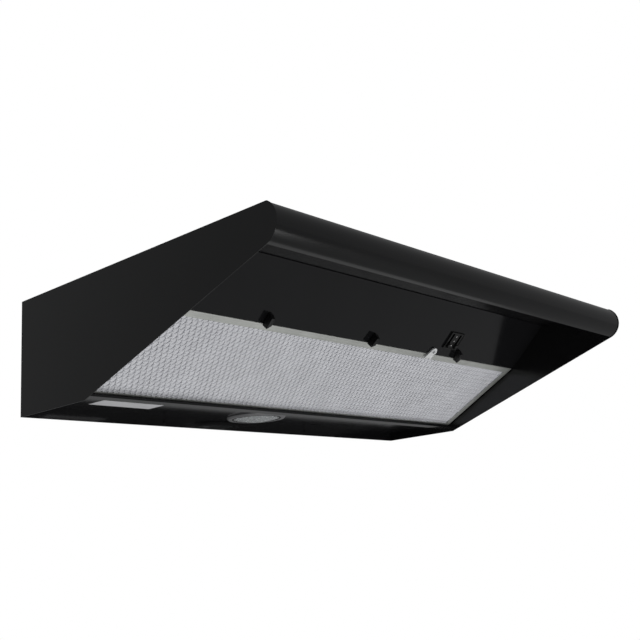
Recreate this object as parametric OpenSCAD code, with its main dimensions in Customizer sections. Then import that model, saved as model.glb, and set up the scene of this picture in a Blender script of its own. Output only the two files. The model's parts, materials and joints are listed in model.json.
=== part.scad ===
// Under cabinet range hood: a sheet metal canopy with a slanted filter, three turn latches,
// two slide switches, a round lamp, a double blower and a rectangular duct collar with a damper.
// Inside the modules, x = 0 is the middle, y = 0 is the wall plane with the front towards -y,
// and z = 0 is the lowest edge. place() moves that to the part's own frame, whose origin is the
// centre of the cabinet screw pattern on the top plate's upper face.

/* [Canopy] */
// Overall width
body_w = 760; // [700:1:900]
// Height from the lowest edge to the top plate's upper face
body_h = 152; // [150:1:160]
// Depth from the wall plane to the front of the nose
body_d = 470; // [465:1:480]
// Outer radius of the side panels' rounded nose
nose_r = 24.7; // [23:0.1:26]
// Height of the nose's centre
nose_z = 130.2; // [129:0.1:131]
// Length of the level bottom edge of each side panel
rear_flat = 140; // [138:1:142]
// Sheet metal thickness
sheet = 1; // [0.8:0.1:1.2]
// How far the side panels stand proud of the rolled front
side_proud = 0.8; // [0.5:0.1:1.2]
// Arc of the hem folded inside the front's lower edge
hem_arc = 20; // [10:1:30]

/* [Control panel] */
// Lower edge of the sloping panel, distance from the wall
panel_y = 273.4; // [272:0.1:275]
// Lower edge of the sloping panel, height
panel_z = 88.4; // [88:0.1:89]
// Slope of the panel from level
panel_angle = 43.6; // [43:0.1:44]

/* [Grease filter] */
// Front lower edge of the filter, distance from the wall
filter_y = 272.5; // [272.3:0.1:272.8]
// Front lower edge of the filter, height
filter_z = 87.9; // [87.7:0.1:88]
// Slope of the filter from level
filter_angle = 28.9; // [28.8:0.1:29]
// Length of the filter along its slope
filter_l = 166; // [165:0.5:166]
// Thickness of the filter frame
filter_t = 8; // [7:0.5:8]
// Width of the frame's strips round the mesh
frame_strip = 10.5; // [9:0.5:13]

/* [Latches] */
// Spacing of the three turn latches
latch_pitch = 205; // [190:1:207]
// Distance of the middle latch from the centre line
latch_x = -3; // [-6:0.5:2]
// Width of a latch
latch_w = 5.5; // [5:0.5:9]
// Distance of the clear latch from the centre line
clear_x = 142; // [125:1:142]
// Height of the clear latch's upper face above the panel
clear_top = 3.4; // [3:0.1:4]

/* [Switches] */
// Centre of the switch bezel, distance from the centre line
switch_x = 175; // [172:1:176]
// Centre of the switch bezel, distance up the panel
switch_v = 29; // [29:0.5:32]
// Travel of a switch slider
slider_travel = 16; // [12:0.5:16]

/* [Lamp] */
// Distance of the lamp from the centre line
lamp_x = -16; // [-20:1:20]
// Distance of the lamp from the wall
lamp_y = 53; // [50:1:56]
// Outer radius of the lamp ring
lamp_r = 45; // [44:0.5:46]
// Height of the lamp tray's underside
tray_z = 14.4; // [14:0.1:15]

/* [Blower and duct] */
// Length of the duct opening
duct_w = 254; // [240:1:258]
// Width of the duct opening
duct_d = 83; // [80:1:84]
// Height of the duct collar above the top plate
collar_h = 38; // [32:1:50]
// Outer radius of an impeller
impeller_r = 42; // [40:0.5:43]
// Blades on an impeller
blade_count = 30; // [20:1:36]

/* [Mounting] */
// Cabinet screw spacing across the hood
cabinet_sx = 600; // [580:1:620]
// Cabinet screw spacing from front to back
cabinet_sy = 200; // [180:1:210]
// Radius of a cabinet screw hole
cabinet_hole_r = 3.25; // [3:0.05:4]
// Distance of the pattern's centre from the wall
cabinet_y = 160; // [155:1:165]
// Wall screw spacing
wall_sx = 640; // [620:1:660]
// Radius of a wall screw hole
wall_hole_r = 3; // [2.5:0.1:3.5]
// Radius of the power cable inlet
cable_r = 8; // [6:0.5:8]

/* [Hidden] */
$fn = 96;
eps = 0.01;
// running clearance round a pivot, and the small gap between plates that lie together
run_gap = 0.06;
lay_gap = 0.05;

half_w = body_w / 2;
inner_half = half_w - sheet;
sheet_half = inner_half - 0.3;
top_in = body_h - sheet;

// rounded nose of the side panels, and the rolled front sheet just inside it
nose_y = body_d - nose_r;
roll_r = nose_r - side_proud;
edge_run = nose_y - rear_flat;
slant = atan2(nose_z, edge_run) - asin(nose_r / norm([edge_run, nose_z]));

// turn latches, in the panel's frame with y up the slope from the pivot
latch_pivot = 10.5;
latch_back = 5;
latch_reach = 13;
latch_near = 8;
latch_low = 0.4;
latch_top = 10;
latch_xs = [latch_x - latch_pitch, latch_x, latch_x + latch_pitch];
// each latch stands at its own small angle
latch_turns = [0, -8, 15];
clear_pivot = 5;
clear_r = 6.7;
clear_reach = 13;
pivot_r = 1.2;
pivot_l = 14;
clear_shank = 6.5;
pivot_head_r = 1.9;
pivot_head_h = 1.3;

// switch bezel, in the panel's frame
bezel_w = 33;
bezel_l = 29;
bezel_h = 1.6;
bezel_rim = 0.8;
slot_xs = [-9.5, 8.5];
slot_w = 5;
slot_l = 24;
stem_w = 3;
stem_l = 6;
knob_w = 4.4;
knob_l = 7;
knob_top = 6;
switch_depth = 18;
dot_r = 1;
dot_h = 0.2;
dot_xs = [0, 18.5];

// lamp tray, its channel and the lamp
channel_z = 6.3;
channel_front = 139;
channel_rear = 121;
channel_lip = 9.2;
ring_h = 3.4;
lens_r = 36.8;
lens_rim_z = tray_z - 2.4;
lens_drop = 5.5;
lens_t = 2;
can_r = 38;
can_h = 15;
tray_screw_xs = [-150, 146];
tray_screw_z = 6.7;
screw_r = 1.7;
screw_hole_r = 1.85;

// blower, centred on the wheel axis
wheel_y = 98;
wheel_z = 88;
scroll_r = 54;
duct_front = wheel_y + scroll_r;
duct_rear = duct_front - duct_d;
housing_half = duct_w / 2 - sheet;
inlet_r = 34;
wheel_in = 42;
wheel_out = 118;
shaft_r = 4;
shaft_half = 60;
motor_r = 34;
motor_half = 33;
bush_r = 36;
band_r = 37.6;
collar_half = duct_w / 2;
collar_wall = 1;
collar_flange = 14;
flap_z = body_h + 9;
flap_t = 0.8;
rod_r = 1.5;
rod_y = duct_front - 5;
duct_screw_x = housing_half + 5;
wire_exit_x = 24;

// electrical parts
box_low = [195, -72, 100];
box_high = [285, -14, top_in - lay_gap];
box_wall = 1.5;
gland_x = 255;
gland_y = 43;
cap_x = -215;
cap_y = 20;
cap_z = 95;
cap_r = 17;
cap_l = 62;
wire_r = 2.2;
box_side = box_low[0] - lay_gap;
switch_route = [[168, -281.9, 121.5], [168, -263.7, 140.6], [168, -58, 140.6], [box_side, -58, 140.6]];
lamp_route = [[lamp_x + can_r + 0.85, -lamp_y, 23], [172, -lamp_y, 23], [172, -lamp_y, 112],
    [box_side, -lamp_y, 112]];
motor_route = [[wire_exit_x, -64, wheel_z], [wire_exit_x, -30, wheel_z], [181, -30, wheel_z], [181, -30, 124],
    [box_side, -30, 124]];

// ---------- placing and shared shapes ----------

// From the hood's wall frame to the part's own frame
module place() translate([0, cabinet_y, -body_h]) children();

// Panel frame: x across, y up the slope, z out of the visible face
module on_panel() translate([0, -panel_y, panel_z]) rotate([180 - panel_angle, 0, 0]) children();

// Filter frame: y = 0 on the front lower edge and rising forwards, z out of the visible face
module on_filter() translate([0, -filter_y, filter_z]) rotate([180 - filter_angle, 0, 0]) children();

// An outline in (y, z) drawn across the width
module across(length) rotate([90, 0, 90]) linear_extrude(length, center = true) children();

// A box given by its lowest and highest corners
module span(low, high) translate(low) cube(high - low);

module tube(outer, inner, length) difference() {
    cylinder(r = outer, h = length);
    translate([0, 0, -1]) cylinder(r = inner, h = length + 2);
}

// A tube along x, centred on the wheel axis
module wheel_tube(outer, inner, x0, x1)
    translate([x0, -wheel_y, wheel_z]) rotate([0, 90, 0]) tube(outer, inner, x1 - x0);

// A straight piece of wire between two points
module wire_piece(a, b) {
    run = b - a;
    tilt = atan2(norm([run[0], run[1]]), run[2]);
    translate(a) rotate([0, tilt, atan2(run[1], run[0])]) cylinder(r = wire_r, h = norm(run), $fn = 24);
}

// A wire through a list of points, with a square clip at each bend
module wire(points) {
    for (i = [0 : len(points) - 2]) wire_piece(points[i], points[i + 1]);
    for (i = [1 : len(points) - 2]) translate(points[i]) cube(3 * wire_r, center = true);
}

// A pan head screw: head above z = 0, shank below
module pan_screw(head_r, head_h, shank_r, shank_l) {
    cylinder(r = head_r, h = head_h);
    translate([0, 0, -shank_l]) cylinder(r = shank_r, h = shank_l + eps);
}

// ---------- canopy ----------

// Circle of the nose, cut off level at the top
module nose_disc(r, top) intersection() {
    translate([-nose_y, nose_z]) circle(r);
    translate([-2 * body_d, 0]) square([2 * body_d, top]);
}

module side_outline() {
    tangent = [-nose_y - nose_r * sin(slant), nose_z - nose_r * cos(slant)];
    polygon([[0, 0], [0, body_h], [-nose_y, body_h], [-nose_y, nose_z], tangent, [-rear_flat, 0]]);
    nose_disc(nose_r, body_h);
}

module side_panel(side) {
    flange = 12;
    translate([side * (half_w - sheet / 2), 0, 0]) across(sheet) side_outline();
    // welding flanges under the top plate and against the back panel
    translate([side * (inner_half - flange / 2), 0, 0]) across(flange) {
        translate([-310, top_in - sheet - lay_gap]) square([296, sheet]);
        translate([-2 * sheet - lay_gap, 20]) square([sheet, 116]);
    }
}

// Top plate and roll as a filled outline; one inside the other leaves the sheet
module roll_fill(inset) {
    nose_disc(roll_r - inset, body_h - inset);
    translate([-nose_y, nose_z]) square([nose_y + inset, body_h - inset - nose_z]);
}

// A wedge from the nose's centre, between the lip's end and another angle
module lip_wedge(arc) {
    reach = 3 * roll_r;
    end = 270 - slant;
    polygon([[0, 0], [reach * cos(end), reach * sin(end)], [reach * cos(end - arc), reach * sin(end - arc)]]);
}

module canopy_outline() {
    reach = 3 * roll_r;
    intersection() {
        difference() {
            roll_fill(0);
            roll_fill(sheet);
        }
        union() {
            translate([-nose_y - reach, nose_z]) square([nose_y + reach, reach]);
            translate([-nose_y, nose_z]) lip_wedge(90 - slant);
        }
    }
    // hem folded back inside the lower edge
    translate([-nose_y, nose_z]) intersection() {
        difference() {
            circle(roll_r - sheet / 2);
            circle(roll_r - 2 * sheet);
        }
        lip_wedge(hem_arc);
    }
}

// Holes through the top plate
module top_hole(x, y, r) translate([x, y, top_in - 5]) cylinder(r = r, h = 10);

module duct_screw_places() for (sx = [-1, 1]) for (y = [duct_front - 12, duct_rear + 12])
    translate([sx * duct_screw_x, -y, 0]) children();

module collar_screw_places() for (sx = [-1, 1]) for (y = [duct_front + 8, duct_rear - 8])
    translate([sx * 100, -y, 0]) children();

module canopy_shell() color("#1b1b1c") place() difference() {
    across(2 * sheet_half) canopy_outline();
    for (sx = [-1, 1]) for (sy = [-1, 1])
        top_hole(sx * cabinet_sx / 2, -cabinet_y + sy * cabinet_sy / 2, cabinet_hole_r);
    span([-collar_half, -duct_front, top_in - 5], [collar_half, -duct_rear, body_h + 5]);
    top_hole(gland_x, -gland_y, 11);
    duct_screw_places() top_hole(0, 0, screw_hole_r);
    collar_screw_places() top_hole(0, 0, screw_hole_r);
}

module side_panel_left() color("#202021") place() side_panel(-1);

module side_panel_right() color("#202021") place() side_panel(1);

module back_panel() color("#1b1b1c") place() difference() {
    union() {
        span([-sheet_half, -sheet, 0], [sheet_half, 0, top_in - lay_gap]);
        span([-sheet_half + 14, -11, top_in - sheet - lay_gap], [sheet_half - 14, -0.5, top_in - lay_gap]);
    }
    for (side = [-1, 1]) translate([side * wall_sx / 2, 1, 112]) rotate([90, 0, 0])
        cylinder(r = wall_hole_r, h = 4);
    tray_screw_places() cylinder(r = screw_hole_r, h = 6);
    span([-118, -5, 36], [118, 5, 106]);
}

// Axes of the screws that hold the tray's rear flange, pointing forwards from behind the wall plane
module tray_screw_places() for (x = tray_screw_xs) translate([x, 1, tray_screw_z])
    rotate([90, 0, 0]) children();

// Cover welded over the rear duct opening from inside
module rear_knockout() color("#3a3a3c") place()
    span([-126, -2 * sheet - lay_gap, 30], [126, -sheet - lay_gap, 112]);

// ---------- control panel ----------

module panel_outline() {
    run = (top_in - panel_z) / sin(panel_angle);
    flange = 12;
    seat_gap = 1.6;
    bend_r = 0.7;
    bend = bend_r / tan(panel_angle / 2);
    top_y = -panel_y - run * cos(panel_angle);
    // sloping face
    translate([-panel_y, panel_z]) rotate(180 - panel_angle) translate([0, -sheet])
        square([run - bend, sheet]);
    // web behind the filter's front edge, and a ledge over it
    translate([-filter_y, filter_z]) rotate(-filter_angle) {
        translate([-seat_gap - sheet, sheet + 0.1]) square([sheet, filter_t]);
        translate([-seat_gap - sheet, filter_t + 0.1]) square([flange + seat_gap + sheet, sheet]);
    }
    // round bend, then a flange under the top plate
    translate([top_y + bend, top_in - bend_r - lay_gap]) circle(bend_r);
    translate([top_y + bend, top_in - sheet - lay_gap]) square([flange, sheet]);
}

module control_panel() color("#232325") place() difference() {
    across(2 * sheet_half) panel_outline();
    on_panel() {
        for (x = latch_xs) translate([x, latch_pivot, -5]) cylinder(r = pivot_r + run_gap, h = 10);
        translate([clear_x, clear_pivot, -5]) cylinder(r = pivot_r + run_gap, h = 10);
        switch_slots(-5, 5);
    }
}

// ---------- filter ----------

module filter_slab(inset, z0, z1) {
    edge = inner_half - 3 - inset;
    span([-edge, -filter_l + inset, z0], [edge, -inset, z1]);
}

// A channel section bent round all four sides, open towards the mesh
module filter_frame() color("#b9bbb6") place() on_filter() difference() {
    skin = 0.8;
    filter_slab(0, -filter_t, 0);
    filter_slab(skin, -filter_t + skin, -skin);
    filter_slab(frame_strip, -filter_t - 1, 1);
}

module filter_mesh_lower() color("#c4c4c6") place() on_filter() filter_slab(1, -1.9, -0.85);

module filter_core() color("#9a9a9c") place() on_filter() filter_slab(1, -filter_t + 2, -1.95);

module filter_mesh_upper() color("#c4c4c6") place() on_filter()
    filter_slab(1, -filter_t + 0.85, -filter_t + 1.9);

// ---------- turn latches ----------

// Side profile of a latch in (y, z): it stands on the panel and its low end reaches over the filter
module latch_profile() polygon([
    [-latch_reach, latch_low], [-latch_reach, latch_top - 0.6], [-latch_reach + 0.6, latch_top],
    [2.4, latch_top], [latch_back, 3], [latch_back, latch_low]]);

// Plan of a latch: its low end is cut aslant
module latch_plan() polygon([
    [-latch_w / 2, -latch_reach], [latch_w / 2, -latch_near], [latch_w / 2, latch_back],
    [-latch_w / 2, latch_back]]);

// Recess and hole for a pivot screw in a latch whose upper face is at a given height
module pivot_room(top) {
    translate([0, 0, -1]) cylinder(r = pivot_r + run_gap, h = 20);
    translate([0, 0, top - pivot_head_h - 0.3]) cylinder(r = pivot_head_r + 0.25, h = 5);
}

// The screw's head sits in the recess, and its shank runs through the panel
module pivot_screw(top, shank) translate([0, 0, top - pivot_head_h - 0.2])
    pan_screw(pivot_head_r, pivot_head_h, pivot_r, shank);

module latch_body() difference() {
    intersection() {
        across(latch_w) latch_profile();
        linear_extrude(2 * latch_top) latch_plan();
    }
    pivot_room(latch_top);
}

module latch_at(i) place() on_panel() translate([latch_xs[i], latch_pivot, 0]) rotate(latch_turns[i])
    latch_body();

module filter_latch_left() color("#141416") latch_at(0);

module filter_latch_centre() color("#141416") latch_at(1);

module filter_latch_right() color("#141416") latch_at(2);

module latch_screws() color("#1a1a1a") place() on_panel() for (x = latch_xs)
    translate([x, latch_pivot, 0]) pivot_screw(latch_top, pivot_l);

// Flat clear latch: round at its pivot, and flared towards the filter
module clear_latch() color([0.9, 0.92, 0.92, 0.75]) place() on_panel()
    translate([clear_x, clear_pivot, 0]) difference() {
        translate([0, 0, latch_low]) union() {
            cylinder(r = clear_r, h = clear_top - latch_low);
            linear_extrude(clear_top - latch_low)
                polygon([[-13.4, -clear_reach], [4.6, -clear_reach], [5.6, 3.4], [-5.4, 3.4]]);
        }
        pivot_room(clear_top);
    }

module clear_latch_screw() color("#c8c8c8") place() on_panel()
    translate([clear_x, clear_pivot, 0]) pivot_screw(clear_top, clear_shank);

// ---------- switches ----------

module switch_slots(z0, z1) for (x = slot_xs)
    span([switch_x + x - slot_w / 2, switch_v - slot_l / 2, z0],
        [switch_x + x + slot_w / 2, switch_v + slot_l / 2, z1]);

module switch_block(half_x, half_v, z0, z1)
    span([switch_x - half_x, switch_v - half_v, z0], [switch_x + half_x, switch_v + half_v, z1]);

module switch_bezel() color("#0c0c0d") place() on_panel() difference() {
    switch_block(bezel_w / 2, bezel_l / 2, lay_gap, bezel_h + bezel_rim);
    switch_block(bezel_w / 2 - 1.2, bezel_l / 2 - 1.2, bezel_h, 9);
    switch_slots(-1, 5);
}

module switch_housing() color("#2b2b2d") place() on_panel() difference() {
    switch_block(bezel_w / 2 - 1, bezel_l / 2 - 0.5, -switch_depth, -sheet - lay_gap);
    switch_slots(-10, 0);
}

// Plain dots beside each switch position
module switch_marks() color("#dcdcdc") place() on_panel() for (i = [0, 1]) for (step = [-1 : 1])
    translate([switch_x + dot_xs[i], switch_v + step * slider_travel / 2, i == 0 ? bezel_h : lay_gap])
        cylinder(r = dot_r, h = dot_h);

module slider_at(x) place() on_panel() translate([switch_x + x, switch_v - slider_travel / 2, 0]) {
    span([-stem_w / 2, -stem_l / 2, -9], [stem_w / 2, stem_l / 2, knob_top - 1]);
    difference() {
        span([-knob_w / 2, -knob_l / 2, bezel_h + 0.2], [knob_w / 2, knob_l / 2, knob_top]);
        // thumb hollow
        translate([-knob_w, 0, knob_top + 3.4]) rotate([0, 90, 0]) cylinder(r = 4.2, h = 2 * knob_w);
    }
}

module light_slider() color("#101011") slider_at(slot_xs[0]);

module speed_slider() color("#101011") slider_at(slot_xs[1]);

// ---------- lamp tray ----------

module tray_outline() {
    deck = -channel_rear - sheet;
    rear = -sheet - lay_gap;
    translate([rear - sheet, 2]) square([sheet, tray_z + sheet - 2]);
    translate([deck, tray_z]) square([rear - deck, sheet]);
    translate([deck, channel_z]) square([sheet, tray_z + sheet - channel_z]);
    translate([-channel_front, channel_z]) square([channel_front - channel_rear, sheet]);
    translate([-channel_front, channel_z]) square([sheet, channel_lip - channel_z]);
}

module lamp_tray() color("#1a1a1b") place() difference() {
    across(2 * sheet_half) tray_outline();
    translate([lamp_x, -lamp_y, tray_z - 2]) cylinder(r = can_r, h = 5);
    tray_screw_places() cylinder(r = screw_hole_r, h = 6);
    // drain slot
    span([136, -28, tray_z - 2], [157, -23, tray_z + 3]);
}

module tray_screws() color("#1a1a1b") place() tray_screw_places()
    translate([0, 0, 1 + 2 * sheet + lay_gap]) pan_screw(3.4, 1.7, screw_r, 1.9);

// Blank plate under the tray
module rating_plate() color("#b4b4b8") place()
    span([-312, -82, tray_z - 0.45], [-216, -49, tray_z - lay_gap]);

module lamp_ring() color("#8d8f92") place() translate([lamp_x, -lamp_y, tray_z - lay_gap]) rotate_extrude()
    polygon([[lens_r + 0.3, 0], [lens_r + 0.3, -ring_h + 0.4], [lens_r + 1.3, -ring_h],
        [lamp_r - 2.5, -ring_h], [lamp_r, -1], [lamp_r, 0]]);

module lamp_lens() color([0.92, 0.94, 0.95, 0.6]) place() translate([lamp_x, -lamp_y, lens_rim_z]) {
    ball_r = (lens_r * lens_r + lens_drop * lens_drop) / (2 * lens_drop);
    intersection() {
        translate([0, 0, ball_r - lens_drop]) difference() {
            sphere(ball_r);
            sphere(ball_r - lens_t);
        }
        translate([0, 0, -lens_drop - 1]) cylinder(r = lens_r, h = lens_drop + 3);
    }
}

module lamp_can() color("#c9cacc") place() translate([lamp_x, -lamp_y, tray_z + sheet + lay_gap])
    difference() {
        wall = 0.8;
        union() {
            cylinder(r = can_r + wall, h = can_h);
            cylinder(r = can_r + 6, h = wall);
        }
        translate([0, 0, -1]) cylinder(r = can_r, h = can_h + 1 - wall);
    }

module lamp_holder() color("#e6e3da") place() difference() {
    span([lamp_x - 34, -lamp_y - 9, 16], [lamp_x - 16, -lamp_y + 9, 29]);
    translate([lamp_x - 17, -lamp_y, 22]) rotate([0, 90, 0]) cylinder(r = 5.4, h = 5);
}

module lamp_bulb() color([0.97, 0.96, 0.9, 0.7]) place() translate([lamp_x - 16.9, -lamp_y, 22]) {
    rotate([0, 90, 0]) cylinder(r = 5.2, h = 34);
    translate([34, 0, 0]) sphere(5.2);
}

// ---------- blower ----------

// Outline of the scroll in (y, z): a circle with a straight outlet going up
module scroll_outline(inset) {
    translate([-wheel_y, wheel_z]) circle(scroll_r - inset);
    translate([-duct_front + inset, wheel_z])
        square([duct_d - 2 * inset, top_in - 0.1 - wheel_z + (inset > 0 ? 5 : 0)]);
}

module blower_wrap() color("#6f7376") place() difference() {
    across(2 * (housing_half - sheet) - 0.1) difference() {
        scroll_outline(0);
        scroll_outline(sheet);
    }
    translate([wire_exit_x, -wheel_y, wheel_z]) rotate([-90, 0, 0]) cylinder(r = 4.6, h = 70);
}

module blower_side(side) {
    difference() {
        union() {
            translate([side * (housing_half - sheet / 2), 0, 0]) across(sheet) scroll_outline(0);
            translate([side * (housing_half + 5 - sheet / 2), -(duct_front + duct_rear) / 2, top_in - 0.6])
                cube([10 + sheet, duct_d, sheet], center = true);
        }
        translate([0, -wheel_y, wheel_z]) rotate([0, 90, 0])
            cylinder(r = inlet_r, h = 2 * duct_w, center = true);
        duct_screw_places() top_hole(0, 0, screw_hole_r);
    }
    // rolled inlet ring
    ring_x = side > 0 ? housing_half - 6 : -housing_half;
    wheel_tube(inlet_r + 1, inlet_r, ring_x, ring_x + 6);
}

module blower_side_left() color("#6f7376") place() blower_side(-1);

module blower_side_right() color("#6f7376") place() blower_side(1);

// Screws pointing up through the blower's flanges and the top plate
module blower_screws() color("#8a8a8c") place() duct_screw_places()
    translate([0, 0, top_in - 1.15]) rotate([180, 0, 0]) pan_screw(3.4, 1.8, screw_r, 2);

module motor() color("#4c5054") place() difference() {
    union() {
        wheel_tube(motor_r, 1, -motor_half, motor_half);
        wheel_tube(10, 1, -motor_half - 5, motor_half + 5);
    }
    translate([0, -wheel_y, wheel_z]) rotate([0, 90, 0])
        cylinder(r = shaft_r + run_gap, h = 200, center = true);
}

module motor_bracket() color("#7b7f82") place() {
    wheel_tube(band_r, bush_r + lay_gap, -12, 12);
    for (turn = [120, 180, 240]) translate([0, -wheel_y, wheel_z]) rotate([turn, 0, 0])
        span([-12, -1.5, band_r - 0.4], [12, 1.5, scroll_r - sheet - 0.15]);
}

module motor_bush() color("#161616") place() wheel_tube(bush_r, motor_r + lay_gap, -10, 10);

module motor_shaft() color("#b8b8ba") place() translate([0, -wheel_y, wheel_z]) rotate([0, 90, 0])
    cylinder(r = shaft_r, h = 2 * shaft_half, center = true);

// Squirrel cage wheel from x = wheel_in to wheel_out
module impeller() {
    hub_r = 9;
    hub_l = 14;
    blade_in = impeller_r - 7;
    wheel_tube(hub_r, shaft_r + 0.02, wheel_in, wheel_in + hub_l);
    wheel_tube(impeller_r, hub_r - 1, wheel_in, wheel_in + 1.5);
    wheel_tube(impeller_r, blade_in + 2, wheel_out - 2.5, wheel_out);
    for (i = [0 : blade_count - 1]) translate([0, -wheel_y, wheel_z]) rotate([i * 360 / blade_count, 0, 0])
        translate([0, 0, blade_in]) rotate([35, 0, 0]) span([wheel_in + 1, -0.5, 1], [wheel_out - 1, 0.5, 7]);
}

module impeller_left() color("#2f3234") place() mirror([1, 0, 0]) impeller();

module impeller_right() color("#2f3234") place() impeller();

module capacitor() color("#d6d6d2") place() translate([cap_x - cap_l / 2, -cap_y, cap_z]) rotate([0, 90, 0])
    cylinder(r = cap_r, h = cap_l);

module capacitor_strap() color("#8a8d90") place() difference() {
    union() {
        translate([cap_x - 6, -cap_y, cap_z]) rotate([0, 90, 0]) cylinder(r = cap_r + 1.2, h = 12);
        span([cap_x - 6, -2.2, cap_z - 30], [cap_x + 6, -sheet - lay_gap, cap_z + 30]);
    }
    translate([cap_x - 20, -cap_y, cap_z]) rotate([0, 90, 0]) cylinder(r = cap_r + lay_gap, h = 40);
}

// ---------- duct collar and damper ----------

module collar_box(grow, z0, z1) span([-collar_half - grow, -duct_front - grow, z0],
    [collar_half + grow, -duct_rear + grow, z1]);

module duct_collar() color("#a9acae") place() {
    difference() {
        union() {
            collar_box(collar_wall, body_h + lay_gap, body_h + collar_h);
            collar_box(collar_flange, body_h + lay_gap, body_h + 1);
        }
        collar_box(0, body_h - 1, body_h + collar_h + 1);
        collar_screw_places() top_hole(0, 0, screw_hole_r);
        along_rod(rod_r + 0.02, 2 * duct_w);
    }
    // ledge under the flap's free edge
    span([-60, -duct_rear - 5, body_h + 5.5], [60, -duct_rear + 0.5, flap_z - flap_t / 2 - 0.3]);
}

module collar_screws() color("#8a8a8c") place() collar_screw_places()
    translate([0, 0, body_h + 1]) pan_screw(3.4, 1.8, screw_r, 6);

// A round bar on the rod's axis, centred at x = 0
module along_rod(r, length) translate([0, -rod_y, flap_z]) rotate([0, 90, 0])
    cylinder(r = r, h = length, center = true);

module damper_rod() color("#b8b8ba") place() along_rod(rod_r, 2 * (collar_half + collar_wall) + 4);

module damper_flap() color("#9ea2a4") place() difference() {
    knuckle_r = 2.8;
    union() {
        span([-collar_half + 3, -rod_y + 2, flap_z - flap_t / 2],
            [collar_half - 3, -duct_rear - 2.5, flap_z + flap_t / 2]);
        for (x = [-85, 0, 85]) translate([x, 0, 0]) along_rod(knuckle_r, 50);
    }
    along_rod(rod_r + run_gap, 2 * duct_w);
}

// ---------- electrical parts ----------

module terminal_box() color("#3b3d40") place() difference() {
    span(box_low, box_high);
    span(box_low + [box_wall, box_wall, -1], box_high - [box_wall, box_wall, box_wall]);
    top_hole(gland_x, -gland_y, 11);
}

// A block inside the box's outline, with its heights counted from the box's lower rim
module box_inset(inset, z0, z1) span([box_low[0] + inset, box_low[1] + inset, box_low[2] + z0],
    [box_high[0] - inset, box_high[1] - inset, box_low[2] + z1]);

module terminal_cover() color("#3b3d40") place() {
    box_inset(0, -1.6, -lay_gap);
    difference() {
        box_inset(box_wall + 0.3, -1, 5);
        box_inset(3, -0.5, 6);
    }
}

module terminal_block() color("#e8e6de") place() difference() {
    span([202, -34, 112], [238, -15.6, 128]);
    for (i = [0 : 2]) translate([208 + 12 * i, -25, 106]) cylinder(r = 2.4, h = 30);
}

// Bushing that lines the cable inlet
module cable_gland() color("#151516") place() translate([gland_x, -gland_y, 0]) difference() {
    union() {
        translate([0, 0, 142]) cylinder(r = 13.5, h = 7.3);
        translate([0, 0, 142]) cylinder(r = 10.9, h = body_h - 142);
    }
    translate([0, 0, 140]) cylinder(r = cable_r, h = 20);
}

module wire_grommet() color("#161616") place() translate([wire_exit_x, 0, wheel_z]) rotate([90, 0, 0])
    translate([0, 0, wheel_y - scroll_r - 2]) difference() {
        union() {
            cylinder(r = 4.5, h = 5);
            cylinder(r = 6.5, h = 1.4);
        }
        translate([0, 0, -1]) cylinder(r = wire_r + 0.3, h = 8);
    }

module switch_wires() color("#2a2a2c") place() wire(switch_route);

module lamp_wires() color("#d8d8d4") place() wire(lamp_route);

module motor_wires() color("#2a2a2c") place() wire(motor_route);

canopy_shell();
side_panel_left();
side_panel_right();
back_panel();
rear_knockout();
control_panel();
lamp_tray();
rating_plate();
filter_frame();
filter_mesh_lower();
filter_core();
filter_mesh_upper();
filter_latch_left();
filter_latch_centre();
filter_latch_right();
latch_screws();
clear_latch();
clear_latch_screw();
switch_bezel();
switch_housing();
switch_marks();
light_slider();
speed_slider();
lamp_ring();
lamp_lens();
lamp_can();
lamp_holder();
lamp_bulb();
tray_screws();
blower_wrap();
blower_side_left();
blower_side_right();
blower_screws();
motor();
motor_bracket();
motor_bush();
motor_shaft();
impeller_left();
impeller_right();
capacitor();
capacitor_strap();
duct_collar();
collar_screws();
damper_rod();
damper_flap();
terminal_box();
terminal_cover();
terminal_block();
cable_gland();
wire_grommet();
switch_wires();
lamp_wires();
motor_wires();
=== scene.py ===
import json
import math
import random

import bmesh
import bpy
from mathutils import Matrix, Vector


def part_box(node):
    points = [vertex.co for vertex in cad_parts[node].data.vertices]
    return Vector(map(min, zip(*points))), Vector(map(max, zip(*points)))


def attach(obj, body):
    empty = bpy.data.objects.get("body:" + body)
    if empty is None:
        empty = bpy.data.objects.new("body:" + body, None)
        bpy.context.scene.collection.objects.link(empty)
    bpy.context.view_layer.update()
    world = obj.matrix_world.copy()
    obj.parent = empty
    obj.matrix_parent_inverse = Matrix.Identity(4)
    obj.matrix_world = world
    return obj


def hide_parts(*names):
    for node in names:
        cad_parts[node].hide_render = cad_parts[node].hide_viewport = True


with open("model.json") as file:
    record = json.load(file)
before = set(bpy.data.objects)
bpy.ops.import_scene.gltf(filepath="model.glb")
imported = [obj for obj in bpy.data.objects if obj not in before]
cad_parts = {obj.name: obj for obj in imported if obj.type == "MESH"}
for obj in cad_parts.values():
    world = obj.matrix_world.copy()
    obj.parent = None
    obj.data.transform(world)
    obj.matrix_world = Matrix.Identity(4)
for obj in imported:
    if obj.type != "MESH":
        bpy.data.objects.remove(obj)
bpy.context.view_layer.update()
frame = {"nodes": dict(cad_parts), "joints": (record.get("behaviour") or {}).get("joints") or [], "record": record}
MM = 0.001

# ---------- frames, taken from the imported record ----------

JOINTS = {j["name"]: j for j in frame["joints"]}
PANEL_OUT = Vector(JOINTS["latch_left_turn"]["axis"])
PANEL_UP = Vector(JOINTS["light_slide"]["axis"])
ACROSS = Vector((1, 0, 0))


def frame_at(origin, x_axis, y_axis, z_axis):
    """A matrix from a local frame in millimetres to the row frame in metres."""
    m = Matrix((x_axis, y_axis, z_axis)).transposed().to_4x4()
    m.translation = origin
    return m @ Matrix.Scale(MM, 4)


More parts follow.
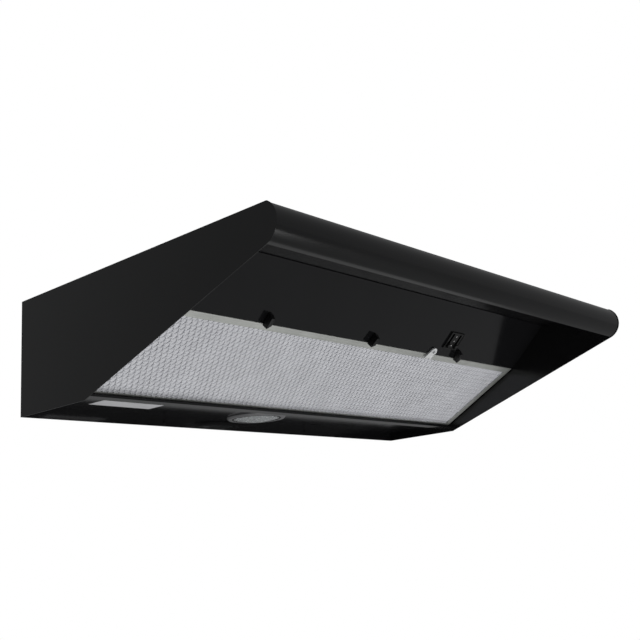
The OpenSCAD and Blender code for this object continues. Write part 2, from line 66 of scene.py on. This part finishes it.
def panel_frame(joint):
    """The sloping panel's frame at a joint's origin: x across, y up the slope, z out."""
    return frame_at(Vector(JOINTS[joint]["pos_m"]), ACROSS, PANEL_UP, PANEL_OUT)


# The filter's slab is 8 mm thick and 166 mm long, and its box gives its slope.
FILTER_T, FILTER_L = 8.0, 166.0
filter_low, filter_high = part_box("filter_frame")
_run = (filter_high.y - filter_low.y) / MM
_rise = (filter_high.z - filter_low.z) / MM
FILTER_ANGLE = math.atan2(FILTER_L * _rise - FILTER_T * _run, FILTER_L * _run - FILTER_T * _rise)
FILTER_Y = Vector((0, -math.cos(FILTER_ANGLE), math.sin(FILTER_ANGLE)))
FILTER_Z = Vector((0, -math.sin(FILTER_ANGLE), -math.cos(FILTER_ANGLE)))
# The origin is the front lower edge, and the slab's highest point is the front edge of its upper face.
FILTER_ORIGIN = Vector((0, filter_low.y, filter_high.z - FILTER_T * MM * math.cos(FILTER_ANGLE)))
FILTER_HALF = (filter_high.x - filter_low.x) / 2 / MM
ON_FILTER = frame_at(FILTER_ORIGIN, ACROSS, FILTER_Y, FILTER_Z)

# ---------- materials ----------


class Nodes:
    """A material's node tree, with short calls to add nodes."""

    def __init__(self, name):
        self.material = bpy.data.materials.new(name)
        self.material.use_nodes = True
        self.tree = self.material.node_tree
        self.tree.nodes.clear()
        self.out = self.tree.nodes.new("ShaderNodeOutputMaterial")
        self.shader = self.add("ShaderNodeBsdfPrincipled")
        self.link(self.shader.outputs[0], self.out.inputs["Surface"])
        self.where = self.add("ShaderNodeTexCoord").outputs["Object"]

    def add(self, kind, **values):
        node = self.tree.nodes.new(kind)
        for key, value in values.items():
            setattr(node, key, value)
        return node

    def link(self, source, target):
        self.tree.links.new(source, target)

    def set(self, **values):
        for key, value in values.items():
            self.shader.inputs[key.replace("_", " ")].default_value = value

    def mapped(self, scale):
        node = self.add("ShaderNodeMapping")
        node.inputs["Scale"].default_value = scale
        self.link(self.where, node.inputs["Vector"])
        return node.outputs[0]

    def noise(self, scale, detail=3.0, rough=0.5, at=None):
        node = self.add("ShaderNodeTexNoise")
        node.inputs["Scale"].default_value = scale
        node.inputs["Detail"].default_value = detail
        node.inputs["Roughness"].default_value = rough
        self.link(at or self.where, node.inputs["Vector"])
        return node.outputs["Fac"]

    def ramp(self, source, low, high, from_low=0.3, from_high=0.7):
        node = self.add("ShaderNodeMapRange")
        limits = {"From Min": from_low, "From Max": from_high, "To Min": low, "To Max": high}
        for key, value in limits.items():
            node.inputs[key].default_value = value
        self.link(source, node.inputs["Value"])
        return node.outputs["Result"]

    def colours(self, source, first, second, at=(0.3, 0.7)):
        node = self.add("ShaderNodeValToRGB")
        for element, colour, place in zip(node.color_ramp.elements, (first, second), at):
            element.color = (*colour, 1)
            element.position = place
        self.link(source, node.inputs["Fac"])
        return node.outputs["Color"]

    def math(self, kind, a, b):
        node = self.add("ShaderNodeMath", operation=kind)
        for socket, value in zip(node.inputs, (a, b)):
            if isinstance(value, (int, float)):
                socket.default_value = value
            else:
                self.link(value, socket)
        return node.outputs[0]

    def bump(self, height, distance, strength=1.0):
        node = self.add("ShaderNodeBump")
        node.inputs["Distance"].default_value = distance
        node.inputs["Strength"].default_value = strength
        self.link(height, node.inputs["Height"])
        self.link(node.outputs[0], self.shader.inputs["Normal"])


def enamel(name, dark, light, rough_low, rough_high):
    """Gloss black stoved paint, with cloudy smears, a trace of dust and a faint orange peel."""
    dust = 0.25
    n = Nodes(name)
    speck = n.noise(900.0, 2.0)
    cloud = n.noise(6.0, 4.0, 0.6)
    mixed = n.math("ADD", n.math("MULTIPLY", cloud, 1 - dust), n.math("MULTIPLY", speck, dust))
    n.link(n.colours(mixed, dark, light), n.shader.inputs["Base Color"])
    n.link(n.ramp(n.noise(14.0, 5.0, 0.65), rough_low, rough_high), n.shader.inputs["Roughness"])
    n.set(IOR=1.5)
    peel = n.noise(420.0, 2.0, 0.5)
    n.bump(peel, 0.00002, 0.35)
    return n.material


def zinc(name, dark, light):
    """Galvanised sheet with its flaky crystal pattern."""
    flake = 70.0
    n = Nodes(name)
    cells = n.add("ShaderNodeTexVoronoi")
    cells.inputs["Scale"].default_value = flake
    n.link(n.where, cells.inputs["Vector"])
    tone = n.add("ShaderNodeSeparateColor")
    n.link(cells.outputs["Color"], tone.inputs[0])
    flakes = n.math("MULTIPLY", tone.outputs[0], 0.6)
    smears = n.math("MULTIPLY", n.noise(30.0, 4.0), 0.4)
    mixed = n.math("ADD", flakes, smears)
    n.link(n.colours(mixed, dark, light, (0.15, 0.85)), n.shader.inputs["Base Color"])
    n.link(n.ramp(tone.outputs[1], 0.28, 0.5, 0.0, 1.0), n.shader.inputs["Roughness"])
    n.set(Metallic=1.0)
    n.bump(n.noise(260.0, 3.0), 0.00003, 0.4)
    return n.material


def brushed(name, dark, light, rough_low, rough_high, stretch=(4, 400, 400), metallic=1.0):
    """Drawn metal with soft smudges, and streaks along x where the noise is stretched."""
    grain = 0.00002
    n = Nodes(name)
    streak = n.noise(1.0, 3.0, 0.6, n.mapped(stretch))
    smudge = n.noise(22.0, 4.0, 0.6)
    mixed = n.math("ADD", n.math("MULTIPLY", streak, 0.45), n.math("MULTIPLY", smudge, 0.55))
    n.link(n.colours(mixed, dark, light), n.shader.inputs["Base Color"])
    n.link(n.ramp(smudge, rough_low, rough_high), n.shader.inputs["Roughness"])
    n.set(Metallic=metallic)
    n.bump(streak, grain, 0.5)
    return n.material


def plastic(name, dark, light, rough_low, rough_high):
    """Moulded plastic, or even paint, with a fine grain."""
    grain, depth = 1500.0, 0.00003
    n = Nodes(name)
    n.link(n.colours(n.noise(40.0, 4.0, 0.6), dark, light), n.shader.inputs["Base Color"])
    n.link(n.ramp(n.noise(120.0, 3.0), rough_low, rough_high), n.shader.inputs["Roughness"])
    n.bump(n.noise(grain, 2.0), depth, 0.4)
    return n.material


def clear(name, tint, rough_low, rough_high, through, ior=1.49):
    """Clear or frosted plastic and glass."""
    n = Nodes(name)
    darker = tuple(c * 0.94 for c in tint)
    n.link(n.colours(n.noise(60.0, 3.0), darker, tint), n.shader.inputs["Base Color"])
    n.link(n.ramp(n.noise(300.0, 3.0), rough_low, rough_high), n.shader.inputs["Roughness"])
    n.set(Transmission_Weight=through, IOR=ior)
    n.bump(n.noise(700.0, 2.0), 0.00003, 0.3)
    return n.material


BLACK = enamel("black_enamel", (0.006, 0.006, 0.0063), (0.008, 0.008, 0.0084), 0.14, 0.2)
INNER = enamel("inner_enamel", (0.006, 0.006, 0.0067), (0.008, 0.008, 0.0088), 0.10, 0.15)
ZINC = zinc("zinc_steel", (0.36, 0.37, 0.38), (0.55, 0.56, 0.57))
FRAME_METAL = brushed("filter_aluminium", (0.47, 0.485, 0.46), (0.68, 0.69, 0.66), 0.42, 0.55,
                      metallic=0.7)
MESH_METAL = brushed("mesh_aluminium", (0.78, 0.785, 0.82), (0.91, 0.915, 0.95), 0.4, 0.5,
                     stretch=(60, 60, 60), metallic=0.3)
LATCH = plastic("latch_plastic", (0.006, 0.006, 0.0065), (0.011, 0.011, 0.012), 0.3, 0.42)
SWITCH = plastic("switch_plastic", (0.006, 0.006, 0.006), (0.012, 0.012, 0.012), 0.32, 0.45)
MARK = plastic("mark_white", (0.6, 0.6, 0.59), (0.72, 0.72, 0.71), 0.4, 0.5)
CLEAR = clear("clear_plastic", (0.98, 0.99, 0.99), 0.2, 0.32, 0.06)
RING = plastic("lamp_ring_plastic", (0.16, 0.16, 0.165), (0.22, 0.22, 0.225), 0.28, 0.4)
LENS = clear("lamp_glass", (0.9, 0.93, 0.94), 0.18, 0.3, 0.7, 1.5)
BULB = clear("bulb_glass", (0.96, 0.95, 0.9), 0.3, 0.4, 0.6, 1.5)
CERAMIC = plastic("ceramic", (0.68, 0.66, 0.6), (0.78, 0.76, 0.7), 0.35, 0.5)
PLATE = brushed("plate_silver", (0.76, 0.76, 0.78), (0.9, 0.9, 0.92), 0.42, 0.55, metallic=0.1)
MOTOR = plastic("motor_steel", (0.05, 0.055, 0.06), (0.09, 0.095, 0.1), 0.4, 0.55)
SHAFT = brushed("shaft_steel", (0.45, 0.45, 0.46), (0.62, 0.62, 0.63), 0.22, 0.34)
WHEEL = plastic("wheel_plastic", (0.02, 0.021, 0.022), (0.035, 0.036, 0.038), 0.5, 0.65)
BOX = plastic("box_plastic", (0.035, 0.037, 0.04), (0.055, 0.057, 0.06), 0.45, 0.6)
RUBBER = plastic("rubber_black", (0.012, 0.012, 0.012), (0.022, 0.022, 0.022), 0.6, 0.75)
CAN = plastic("capacitor_case", (0.6, 0.6, 0.57), (0.72, 0.72, 0.69), 0.35, 0.5)
WIRE_DARK = plastic("wire_dark", (0.02, 0.02, 0.022), (0.035, 0.035, 0.037), 0.45, 0.6)
WIRE_LIGHT = plastic("wire_light", (0.55, 0.55, 0.52), (0.66, 0.66, 0.63), 0.45, 0.6)

SLOT_MATERIAL = {
    "black_enamel": BLACK, "inner_enamel": INNER, "zinc_steel": ZINC,
    "filter_aluminium": FRAME_METAL, "mesh_aluminium": MESH_METAL,
    "latch_plastic": LATCH, "clear_plastic": CLEAR, "switch_plastic": SWITCH, "mark_white": MARK,
    "lamp_ring_plastic": RING, "lamp_glass": LENS, "bulb_glass": BULB, "ceramic": CERAMIC,
    "plate_silver": PLATE, "motor_steel": MOTOR, "shaft_steel": SHAFT, "wheel_plastic": WHEEL,
    "box_plastic": BOX, "rubber_black": RUBBER, "capacitor_case": CAN,
    "wire_dark": WIRE_DARK, "wire_light": WIRE_LIGHT,
}
for part in frame["record"]["subparts"]:
    node = frame["nodes"][part["node"]]
    for place in node.material_slots:
        place.material = SLOT_MATERIAL[part["material_slot"]]

# ---------- mesh helpers ----------


def piece(name, verts, faces, matrix, slot, body="hood", stands_for=(), smooth=True):
    """A mesh piece that rides on a body and takes its finish from a slot."""
    mesh = bpy.data.meshes.new(name)
    mesh.from_pydata([matrix @ Vector(v) for v in verts], [], faces)
    made = bmesh.new()
    made.from_mesh(mesh)
    bmesh.ops.recalc_face_normals(made, faces=made.faces)
    made.to_mesh(mesh)
    made.free()
    mesh.polygons.foreach_set("use_smooth", [smooth] * len(mesh.polygons))
    mesh.materials.append(SLOT_MATERIAL[slot])
    obj = bpy.data.objects.new(name, mesh)
    bpy.context.scene.collection.objects.link(obj)
    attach(obj, body)
    if stands_for:
        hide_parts(*stands_for)
    return obj


def loft(rings):
    """Closed tube through rings that all have the same number of points, from the last to the first too."""
    segments = len(rings[0])
    verts = [point for ring in rings for point in ring]
    faces = []
    for r in range(len(rings)):
        here, there = r * segments, (r + 1) % len(rings) * segments
        for k in range(segments):
            n = (k + 1) % segments
            faces.append((here + k, here + n, there + n, there + k))
    return verts, faces


def circle_ring(radius, height, segments, wave=None):
    """A ring of points round z, with an optional change of height by angle."""
    angles = [2 * math.pi * k / segments for k in range(segments)]
    return [(radius * math.cos(a), radius * math.sin(a), height + (wave(a) if wave else 0.0))
            for a in angles]


# ---------- clear turn latch, in millimetres on the sloping panel ----------

CLEAR_LOW, CLEAR_TOP = 0.4, 3.4
CLEAR_CORNERS = ((-13.4, -13.0), (4.6, -13.0), (5.6, 3.4), (-5.4, 3.4))
CLEAR_R = 6.7
RIM_W, FLOOR_DEPTH = 1.0, 0.9
COLLAR_R = 4.1
# The pivot's hole, and the sink for its screw's head
PIVOT_R = 1.26
PIVOT_HEAD_R, PIVOT_HEAD_DEPTH = 2.15, 1.6


def clear_reach(angle):
    """Distance from the pivot to the latch's outline: a disc joined to a flared plate."""
    direction = Vector((math.cos(angle), math.sin(angle)))
    best = CLEAR_R
    for i, a in enumerate(CLEAR_CORNERS):
        a, b = Vector(a), Vector(CLEAR_CORNERS[(i + 1) % 4])
        side = b - a
        cross = direction.x * side.y - direction.y * side.x
        if abs(cross) < 1e-9:
            continue
        along = (a.x * side.y - a.y * side.x) / cross
        part = (a.x * direction.y - a.y * direction.x) / cross
        if along > 0 and 0 <= part <= 1:
            best = max(best, along)
    return best


def clear_latch():
    """The outline with a raised rim, a thin floor and a collar round the pivot screw."""
    segments = 120
    angles = [2 * math.pi * k / segments for k in range(segments)]
    reach = [clear_reach(a) for a in angles]
    # two rounds of smoothing round off the corners
    for _ in range(2):
        reach = [(reach[k - 1] + 2 * reach[k] + reach[(k + 1) % segments]) / 4 for k in range(segments)]

    def outline(inset, height):
        return [((r - inset) * math.cos(a), (r - inset) * math.sin(a), height)
                for a, r in zip(angles, reach)]

    floor_z = CLEAR_TOP - FLOOR_DEPTH
    head_z = CLEAR_TOP - PIVOT_HEAD_DEPTH
    edge, draft = 0.3, 0.25
    rings = [
        outline(edge, CLEAR_LOW),
        outline(0.0, CLEAR_LOW + edge),
        outline(0.0, CLEAR_TOP - edge),
        outline(draft, CLEAR_TOP),
        outline(RIM_W, CLEAR_TOP),
        outline(RIM_W + draft, floor_z),
        circle_ring(COLLAR_R + 0.2, floor_z, segments),
        circle_ring(COLLAR_R, CLEAR_TOP, segments),
        circle_ring(PIVOT_HEAD_R + edge, CLEAR_TOP, segments),
        circle_ring(PIVOT_HEAD_R, head_z, segments),
        circle_ring(PIVOT_R, head_z, segments),
        circle_ring(PIVOT_R, CLEAR_LOW, segments),
    ]
    verts, faces = loft(rings)
    piece("clear_latch_moulded", verts, faces, panel_frame("clear_latch_turn"), "clear_plastic",
          "clear_latch", ("clear_latch",), smooth=False)


clear_latch()

# ---------- lamp lens, and a dark ring of painted shade in the gap round it ---

lens_low, lens_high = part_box("lamp_lens")
LENS_R = (lens_high.x - lens_low.x) / 2 / MM
LENS_RIM = 2.0
LENS_DROP = (lens_high.z - lens_low.z) / MM - LENS_RIM
LENS_WALL = 2.0
# The lens's frame has its origin on its axis, where the dome meets the rim.
LENS_CENTRE = Vector(((lens_low.x + lens_high.x) / 2, (lens_low.y + lens_high.y) / 2,
                      lens_low.z + LENS_DROP * MM))
ON_LENS = Matrix.Translation(LENS_CENTRE) @ Matrix.Scale(MM, 4)


def lamp_lens():
    """A dome, with rings pressed into the middle of its outside and radial flutes round them."""
    segments, steps, inner_steps = 180, 40, 10
    waves, wave_height = 11, 0.16
    flutes, flute_height, flute_back = 60, 0.28, 0.3
    # parts of the radius, and how far each change of pattern takes
    flutes_from, flutes_blend = 0.42, 0.1
    flutes_to, edge_blend = 0.97, 0.05
    middle = 0.08

    def outside(part):
        grow = min(1.0, max(0.0, (part - flutes_from) / flutes_blend))
        fade = grow * min(1.0, max(0.0, (flutes_to - part) / edge_blend))
        ripple = wave_height * math.cos(2 * math.pi * part * waves) * (1 - fade) * min(1.0, part / middle)
        height = -LENS_DROP * (1 - part * part) + ripple
        # the flutes stand back a little, so that they stay inside the dome
        return circle_ring(LENS_R * part, height + flute_back * fade, segments,
                           lambda a: flute_height * fade * math.cos(flutes * a))

    def inside(part):
        radius = (LENS_R - LENS_WALL) * (1 - part) + 0.05
        return circle_ring(radius, LENS_RIM - LENS_DROP * 0.93 * (1 - (1 - part) ** 2), segments)

    rings = [outside(max(k / steps, 0.002)) for k in range(steps + 1)]
    rings += [circle_ring(LENS_R, LENS_RIM * 0.9, segments), circle_ring(LENS_R - 1.2, LENS_RIM, segments)]
    rings += [inside(k / inner_steps) for k in range(inner_steps + 1)]
    verts, faces = loft(rings)
    piece("lamp_lens_pressed", verts, faces, ON_LENS, "lamp_glass", "hood", ("lamp_lens",))


def lamp_gap_shade_ring():
    """Dark ring in the joint between the lens and its ring, standing a little proud of both: painted shade for the
    gap, not a seal.
    """
    segments = 144
    inner, outer, proud, back = 34.8, 36.95, -1.3, 0.2
    side, flat = 0.3, 0.4
    rings = [
        circle_ring(inner, back, segments),
        circle_ring(inner, proud + side, segments),
        circle_ring(inner + flat, proud, segments),
        circle_ring(outer - flat, proud, segments),
        circle_ring(outer, proud + side, segments),
        circle_ring(outer, back, segments),
    ]
    verts, faces = loft(rings)
    # the black rubber finish paints the shade of the gap between the lens and its ring
    piece("lamp_gap_shade_ring", verts, faces, ON_LENS, "rubber_black")


lamp_lens()
lamp_gap_shade_ring()

# ---------- softened edges ----------

# How wide a node's sharp edges are rounded, in millimetres, so that they catch the light
SOFT_EDGES = {
    "filter_latch_left": 0.5, "filter_latch_centre": 0.5, "filter_latch_right": 0.5,
    "switch_bezel": 0.3, "light_slider": 0.35, "speed_slider": 0.35,
    "tray_screws": 0.5, "latch_screws": 0.3, "clear_latch_screw": 0.3,
    "lamp_ring": 0.4, "rating_plate": 0.12, "filter_frame": 0.2,
    "side_panel_left": 0.25, "side_panel_right": 0.25, "lamp_tray": 0.25,
    "duct_collar": 0.3, "terminal_box": 0.6, "cable_gland": 0.5,
}
SHARP_ANGLE = math.radians(40)


def soften(node_name, width):
    bevel = frame["nodes"][node_name].modifiers.new("soft_edges", "BEVEL")
    bevel.width = width * MM
    bevel.segments = 2
    bevel.limit_method = "ANGLE"
    bevel.angle_limit = SHARP_ANGLE


for node_name, width in SOFT_EDGES.items():
    soften(node_name, width)

# ---------- expanded metal mesh, in millimetres on the filter's lower face ----------

CELL_X, CELL_Y = 8.18, 8.66
MESH_EDGE = 3
MESH_MIDDLE = -1.35
MESH_WAVE, MESH_T = 0.3, 0.3
MESH_SEED = 5
JITTER_X, JITTER_Y, JITTER_Z = 0.22, 0.25, 0.06
# A strand's half width at its middle, how much more it has at a bond, and how far it is twisted
STRAND_HALF, BOND_MORE, STRAND_TWIST = 0.85, 0.55, 0.32
STRAND_STEPS = 5


def expanded_metal(half_w, y0, y1):
    """Strands between staggered bonds. Each dips from the high end of a bond to the low end of the next."""
    rng = random.Random(MESH_SEED)
    verts, faces = [], []
    rows = int((y1 - y0) / CELL_Y) + 1
    columns = int(half_w * 2 / CELL_X) + 1
    jitter = {}

    def bond(i, j):
        if (i, j) not in jitter:
            jitter[(i, j)] = (rng.uniform(-JITTER_X, JITTER_X), rng.uniform(-JITTER_Y, JITTER_Y),
                              rng.uniform(-JITTER_Z, JITTER_Z))
        dx, dy, dz = jitter[(i, j)]
        return (-half_w + (i + (j % 2) * 0.5) * CELL_X + dx, y1 - j * CELL_Y + dy, dz)

    def strand(a, b, side):
        base = len(verts)
        for k in range(STRAND_STEPS + 1):
            t = k / STRAND_STEPS
            bend = t * t * (3 - 2 * t)
            x = a[0] + (b[0] - a[0]) * bend
            y = a[1] + (b[1] - a[1]) * t
            z = MESH_MIDDLE + (a[2] + b[2]) / 2 + MESH_WAVE * math.cos(math.pi * t)
            wide = STRAND_HALF + BOND_MORE * abs(2 * t - 1) ** 2
            twist = STRAND_TWIST * side * math.sin(math.pi * t)
            for sx, sz in ((-1, -1), (1, -1), (1, 1), (-1, 1)):
                verts.append((min(max(x + sx * wide, -half_w), half_w), min(max(y, y0), y1),
                              z + sz * MESH_T / 2 + sx * twist))
        for k in range(STRAND_STEPS):
            for c in range(4):
                p = base + 4 * k + c
                q = base + 4 * k + (c + 1) % 4
                faces.append((p, q, q + 4, p + 4))
        end = base + 4 * STRAND_STEPS
        faces.append((base, base + 3, base + 2, base + 1))
        faces.append((end, end + 1, end + 2, end + 3))

    for j in range(rows):
        for i in range(-1, columns + 1):
            a = bond(i, j)
            if not -half_w <= a[0] <= half_w:
                continue
            for step, side in ((0, 1), (1, -1)):
                other = bond(i + step - (1 - j % 2), j + 1)
                strand(a, other, side)
    return verts, faces


mesh_verts, mesh_faces = expanded_metal(FILTER_HALF - MESH_EDGE, -FILTER_L + MESH_EDGE, -MESH_EDGE)
piece("filter_mesh_front", mesh_verts, mesh_faces, ON_FILTER, "mesh_aluminium",
      stands_for=("filter_mesh_lower",), smooth=False)

# ---------- floor, light and camera ----------

FLOOR_Z = -2.2
FLOOR_HALF = 60.0


def floor():
    mesh = bpy.data.meshes.new("floor")
    corners = [(x * FLOOR_HALF, y * FLOOR_HALF, FLOOR_Z) for x, y in ((-1, -1), (1, -1), (1, 1), (-1, 1))]
    mesh.from_pydata(corners, [], [(0, 1, 2, 3)])
    n = Nodes("floor_paint")
    paint = n.colours(n.noise(0.8, 3.0), (0.80, 0.80, 0.80), (0.84, 0.84, 0.84))
    n.link(paint, n.shader.inputs["Base Color"])
    n.set(Roughness=0.7)
    # the camera sees it as evenly white as the backdrop
    white = n.add("ShaderNodeEmission")
    white.inputs["Strength"].default_value = 1.0
    mix = n.add("ShaderNodeMixShader")
    n.link(n.add("ShaderNodeLightPath").outputs["Is Camera Ray"], mix.inputs["Fac"])
    n.link(n.shader.outputs[0], mix.inputs[1])
    n.link(white.outputs[0], mix.inputs[2])
    n.link(mix.outputs[0], n.out.inputs["Surface"])
    mesh.materials.append(n.material)
    obj = bpy.data.objects.new("floor", mesh)
    bpy.context.scene.collection.objects.link(obj)


def studio():
    """White background for the camera, and a softer, graded surround for the light and the reflections."""
    world = bpy.data.worlds.new("studio")
    bpy.context.scene.world = world
    world.use_nodes = True
    tree = world.node_tree
    tree.nodes.clear()
    out = tree.nodes.new("ShaderNodeOutputWorld")
    mix = tree.nodes.new("ShaderNodeMixShader")
    seen = tree.nodes.new("ShaderNodeBackground")
    seen.inputs["Color"].default_value = (1, 1, 1, 1)
    seen.inputs["Strength"].default_value = 1.0
    soft = tree.nodes.new("ShaderNodeBackground")
    soft.inputs["Color"].default_value = (0.98, 0.99, 1.0, 1)
    soft.inputs["Strength"].default_value = 0.2
    path = tree.nodes.new("ShaderNodeLightPath")
    tree.links.new(path.outputs["Is Camera Ray"], mix.inputs["Fac"])
    tree.links.new(soft.outputs[0], mix.inputs[1])
    tree.links.new(seen.outputs[0], mix.inputs[2])
    tree.links.new(mix.outputs[0], out.inputs["Surface"])


# Name, place, the point it faces, size in metres and power in watts
LIGHTS = (
    ("key", (-1.2, -2.2, 1.6), (0, -0.1, -0.1), (1.6, 1.6), 20.0),
    ("fill", (0.4, -1.5, -1.3), (0, -0.05, -0.1), (1.2, 1.2), 12.6),
    ("under", (0.5, 0.3, -1.9), (0.5, 0.3, 0.0), (1.4, 1.2), 4.5),
    ("edge", (2.0, 0.25, -1.9), (2.0, 0.25, 0.0), (2.0, 0.7), 1.7),
)


def area_light(name, place, target, size, power):
    data = bpy.data.lights.new(name, "AREA")
    data.shape = "RECTANGLE"
    data.size, data.size_y = size
    data.energy = power
    obj = bpy.data.objects.new(name, data)
    bpy.context.scene.collection.objects.link(obj)
    obj.location = place
    obj.rotation_euler = (Vector(target) - Vector(place)).to_track_quat("-Z", "Y").to_euler()


CAMERA_PLACE = (-0.9967, -0.9031, -0.3380)
CAMERA_RIGHT = Vector((0.6733, -0.7365, -0.0651)).normalized()
CAMERA_FORWARD = Vector((0.7271, 0.6437, 0.2387)).normalized()
CAMERA_LENS, CAMERA_SENSOR = 52.2, 36.0


def camera():
    """Below the hood and in front of its left end, looking up and to the right."""
    data = bpy.data.cameras.new("camera")
    data.sensor_width = CAMERA_SENSOR
    data.lens = CAMERA_LENS
    data.clip_start, data.clip_end = 0.05, 100.0
    obj = bpy.data.objects.new("camera", data)
    bpy.context.scene.collection.objects.link(obj)
    up = CAMERA_RIGHT.cross(CAMERA_FORWARD).normalized()
    obj.matrix_world = Matrix((CAMERA_RIGHT, up, -CAMERA_FORWARD)).transposed().to_4x4()
    obj.location = CAMERA_PLACE
    bpy.context.scene.camera = obj


floor()
studio()
for light in LIGHTS:
    area_light(*light)
camera()
bpy.context.scene.view_settings.view_transform = "Standard"
